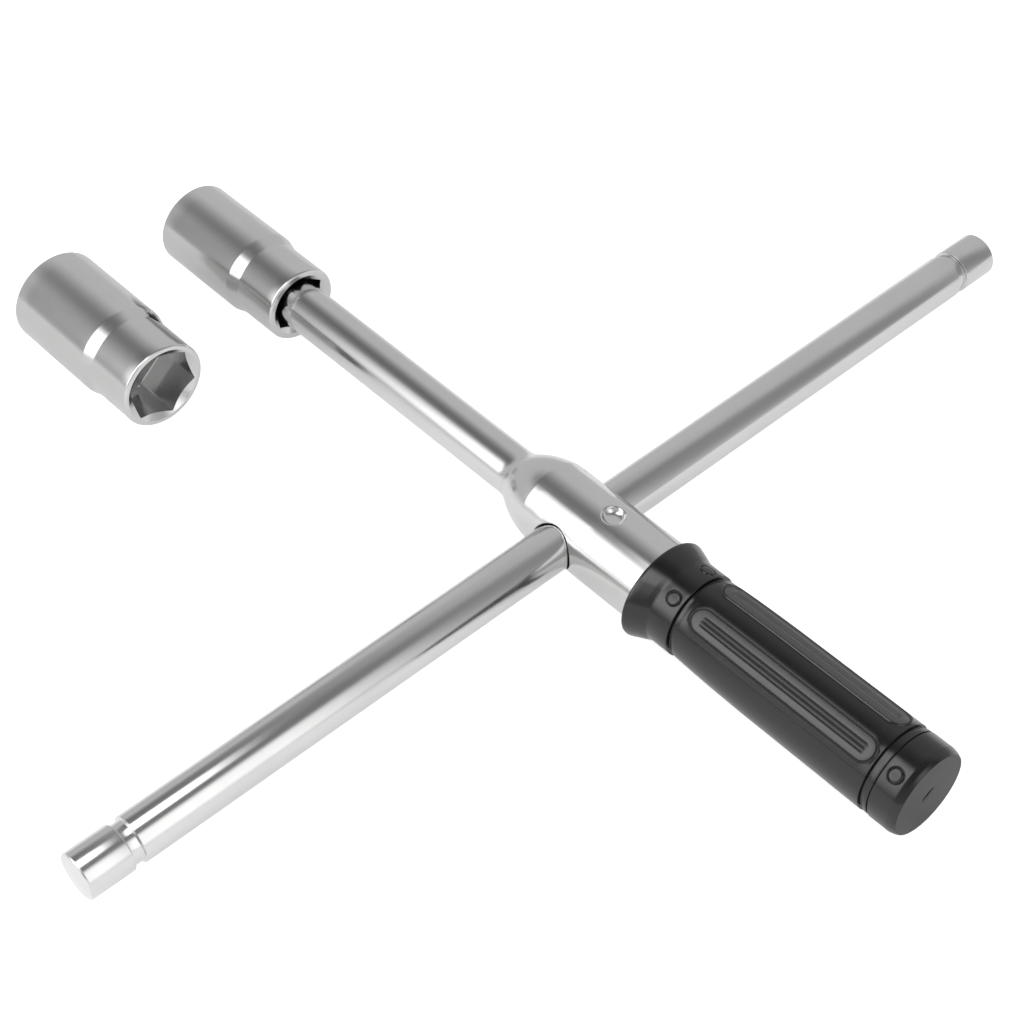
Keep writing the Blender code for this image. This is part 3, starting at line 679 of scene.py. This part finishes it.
def build_grip(material):
    """Lathe with ribbed panels, a button in line with each on the front collar, and one more on the
    end collar."""
    turns = even_turns(144, 6.0)
    surface = Round(grip_profile(), turns)
    skin = Skin()
    distances = [4.42, 4.34, 4.26, 4.19, 4.12, 4.05, 3.97, 3.88, 3.79, 3.70, 3.62, 3.54, 3.46, 3.36]
    distances += [3.0, 2.4, 1.85, 1.62, 1.5, 1.4, 1.3, 1.2, 1.1, 0.98, 0.8]
    distances += [0.62, 0.48, 0.36, 0.25, 0.15, 0.06, 0.0]
    for turn in PANEL_TURNS:
        turn = turn % 360
        window = surface.window(115.0, 48.6, turn - 22.5, turn + 22.5)
        inlay(skin, surface, window, (53.35, 110.15), turn, distances, panel_height, 1.0)
    distances = [2.62, 2.5, 2.38, 2.28, 2.2, 2.12, 2.04, 1.96, 1.85, 1.7, 1.2, 0.6, 0.0]
    for turn in BOSS_TURNS:
        turn = turn % 360
        window = surface.window(45.0, 39.4, turn - 16.0, turn + 16.0)
        inlay(skin, surface, window, (FRONT_BOSS_AT, FRONT_BOSS_AT), turn, distances, boss_height)
    window = surface.window(124.4, 118.8, REAR_BOSS_TURN - 16.0, REAR_BOSS_TURN + 16.0)
    middle = (REAR_BOSS_AT, REAR_BOSS_AT)
    inlay(skin, surface, window, middle, REAR_BOSS_TURN, distances, boss_height)
    surface.add_to(skin)
    end_face(skin, turns)
    skin.points = [lower_flange(points) for points in skin.points]
    piece = skin.mesh_object("grip_skin", CROSSING, sharp=34.0)
    place(piece, "wrench", "grip_rubber", material, "grip")


# ---------------------------------------------------------------- studio

def build_floor():
    """Large pale floor that looks white. Reflections see painted light on it: a painted pool of light that
    is a little dimmer towards the sockets, and a painted shadow just behind the grip's end."""
    mesh = bpy.data.meshes.new("floor")
    size = FLOOR_HALF
    corners = [(-size, -size, 0), (size, -size, 0), (size, size, 0), (-size, size, 0)]
    mesh.from_pydata(corners, [], [(0, 1, 2, 3)])
    floor = bpy.data.objects.new("floor", mesh)
    bpy.context.scene.collection.objects.link(floor)
    material, m, shader = new_material("pale_floor")
    where = m.node("ShaderNodeTexCoord", out=3)
    # Painted pool of light: for reflections the floor's colour and glow are dimmer towards the sockets.
    share = m.soft(m.dot(where, (1.0, 0.0, 0.0)), -0.15, -0.03)
    seen = m.node("ShaderNodeLightPath", out=0)
    dim = m.mix(share, (0.53, 0.53, 0.53, 1.0), (0.78, 0.78, 0.78, 1.0))
    colour = m.mix(seen, dim, (0.82, 0.82, 0.82, 1.0))
    painted_floor_glow = m.mix(share, (0.34, 0.34, 0.34, 1.0), (0.37, 0.37, 0.37, 1.0))
    # Painted shadow: the glow that reflections see falls to black in a small spot just behind the grip's
    # end.
    spot = tuple(CROSSING + Vector((0.15, 0.01, -AXIS_UP)))
    painted_shadow_distance = m.node("ShaderNodeVectorMath", {"operation": "DISTANCE"}, out=1, i0=where, i1=spot)
    painted_floor_glow = m.mix(m.soft(painted_shadow_distance, 0.02, 0.05), BLACK, painted_floor_glow)
    glow = m.mix(seen, painted_floor_glow, (0.74, 0.74, 0.74, 1.0))
    feed(m, shader, Base_Color=colour, Roughness=0.9, Emission_Color=glow, Emission_Strength=1.0)
    shader.inputs["Specular IOR Level"].default_value = 0.0
    mesh.materials.append(material)


def add_card(name, centre, target, half, solid, light):
    """Studio card that only reflections show. It fades out from its solid share to its edge, both ways:
    alpha is the product of two smooth steps of |x| / half width and |y| / half height."""
    wide, high = half
    mesh = bpy.data.meshes.new(name)
    corners = [(-wide, -high, 0), (wide, -high, 0), (wide, high, 0), (-wide, high, 0)]
    mesh.from_pydata(corners, [], [(0, 1, 2, 3)])
    card = bpy.data.objects.new(name, mesh)
    card.location = CROSSING + Vector(centre)
    if target is not None:
        card.rotation_euler = (Vector(target) - Vector(centre)).to_track_quat("Z", "Y").to_euler()
    bpy.context.scene.collection.objects.link(card)
    material, m, shader = new_material(name)
    where = m.node("ShaderNodeTexCoord", out=3)
    alpha = None
    for axis, size, share in (((1.0, 0.0, 0.0), wide, solid[0]), ((0.0, 1.0, 0.0), high, solid[1])):
        fade = m.soft(m.number("ABSOLUTE", m.dot(where, axis)) / size, share, 1.0, 1.0, 0.0)
        alpha = fade if alpha is None else alpha * fade
    glow = m.mix(m.noise(where, 3.0), (0.95, 0.95, 0.95, 1.0), WHITE)
    feed(m, shader, Base_Color=BLACK, Alpha=alpha, Emission_Color=glow, Emission_Strength=light)
    shader.inputs["Specular IOR Level"].default_value = 0.0
    mesh.materials.append(material)
    card.visible_camera = False
    card.visible_diffuse = False
    card.visible_shadow = False


def build_cards():
    """A wide dim card over the tool gives the dark line along its top, a bright one low on the left the
    white streak, a bright one on the right the bar's streak, and a small one the grip's."""
    crossing = (0.0, 0.0, 0.0)
    front_bar = (0.0, -0.08, 0.0)
    add_card("overhead_card", (-0.25, -0.12, 0.60), None, (0.90, 0.60), (0.3, 0.0), 0.18)
    add_card("left_card", (-0.17, -0.43, 0.28), crossing, (0.33, 0.36), (0.0, 0.2), 3.4)
    add_card("grip_card", (-0.045, -0.17, 0.35), None, (0.105, 0.14), (0.7, 0.5), 3.3)
    add_card("right_card", (0.53, -0.03, 0.31), front_bar, (0.34, 0.50), (0.0, 0.3), 1.65)


def build_world():
    """Studio surround. The arch runs from 0 at the far horizon over the top, 0.5, to 1 at the near one.
    A light wall stands behind the tool, a smooth step leads from it to a dim ceiling, and a long one
    from there to the room in front."""
    world = bpy.data.worlds.new("studio")
    bpy.context.scene.world = world
    world.use_nodes = True
    tree = world.node_tree
    tree.nodes.clear()
    m = Maker(tree)
    where = m.node("ShaderNodeTexCoord", out=0)
    near = m.dot(where, (0.736, -0.677, 0.0))
    high = m.dot(where, (0.0, 0.0, 1.0))
    arch = m.number("ARCTAN2", near, high) / math.pi + 0.5
    behind = m.soft(arch, 0.33, 0.46, FAR_WALL_LIGHT, CEILING_LIGHT)
    ahead = m.soft(arch, 0.52, 1.0, 0.0, NEAR_ROOM_LIGHT - CEILING_LIGHT)
    seen = m.node("ShaderNodeLightPath", out=0)
    colour = m.mix(seen, m.mix(behind + ahead, BLACK, WHITE), WHITE)
    background = m.node("ShaderNodeBackground", None, Color=colour, Strength=1.0)
    output = tree.nodes.new("ShaderNodeOutputWorld")
    tree.links.new(background.socket, output.inputs["Surface"])


def add_panel(name, shape, centre, target, width, height, radiance):
    """Soft box at the centre given, facing the target, unseen in reflections. Its power is
    radiance x pi x its area."""
    light = bpy.data.lights.new(name, "AREA")
    light.shape = shape
    light.size = width
    light.size_y = height
    area = width * height * (math.pi / 4 if shape == "ELLIPSE" else 1.0)
    light.energy = radiance * math.pi * area
    lamp = bpy.data.objects.new(name, light)
    lamp.location = centre
    lamp.rotation_euler = (Vector(target) - Vector(centre)).to_track_quat("-Z", "Y").to_euler()
    lamp.visible_glossy = False
    lamp.visible_camera = False
    bpy.context.scene.collection.objects.link(lamp)


def build_lights():
    base = CROSSING
    side = base + Vector((0, -0.08, 0))
    add_panel("left_box", "ELLIPSE", base + Vector((-0.17, -0.52, 0.31)), base, 0.62, 0.47, 2.4)
    add_panel("right_box", "RECTANGLE", base + Vector((0.56, -0.06, 0.29)), side, 0.5, 0.34, 1.7)
    add_panel("top_fill", "RECTANGLE", base + Vector((-0.2, 0.3, 1.4)), base, 1.6, 1.6, 0.45)


def build_camera():
    camera = bpy.data.cameras.new("camera")
    camera.lens = CAMERA_LENS
    camera.sensor_width = 36.0
    camera.clip_start = 0.01
    holder = bpy.data.objects.new("camera", camera)
    holder.location = CROSSING + Vector(CAMERA_FROM_CROSSING)
    holder.rotation_euler = (math.radians(CAMERA_TILT), 0.0, math.radians(CAMERA_TURN))
    bpy.context.scene.collection.objects.link(holder)
    bpy.context.scene.camera = holder


def main():
    around_shaft = satin_chrome("chrome_shaft", (2600.0, 90.0, 90.0))
    around_bar = satin_chrome("chrome_bar", (90.0, 2600.0, 90.0))
    on_sockets = satin_chrome("chrome_socket", (1900.0, 120.0, 120.0), rough=0.16)
    build_cross_bar(around_bar)
    build_drive_rod(around_shaft)
    build_hub(around_shaft)
    build_socket(
        "mounted_socket_skin", "mounted_socket", "socket_on_drive", MOUNTED_MOUTH, 0.0,
        54.5, 12.5, 13.7, (16.4, 20.4), (17.2, 19.2), on_sockets,
    )
    build_socket(
        "spare_socket_skin", "spare_socket", "loose_socket", SPARE_MOUTH, 130.0,
        56.3, 14.35, 15.5, (17.0, 21.0), (21.2, 23.2), on_sockets,
    )
    build_grip(grip_rubber())
    steel = plain_steel()
    hidden = ("handle_tube", "detent_seat", "detent_spring", "detent_ball", "drive_spring", "drive_ball")
    for node in hidden:
        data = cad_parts[node].data
        data.materials.clear()
        data.materials.append(steel)
    build_floor()
    build_cards()
    build_world()
    build_lights()
    build_camera()
    bpy.context.scene.view_settings.view_transform = "Standard"


main()
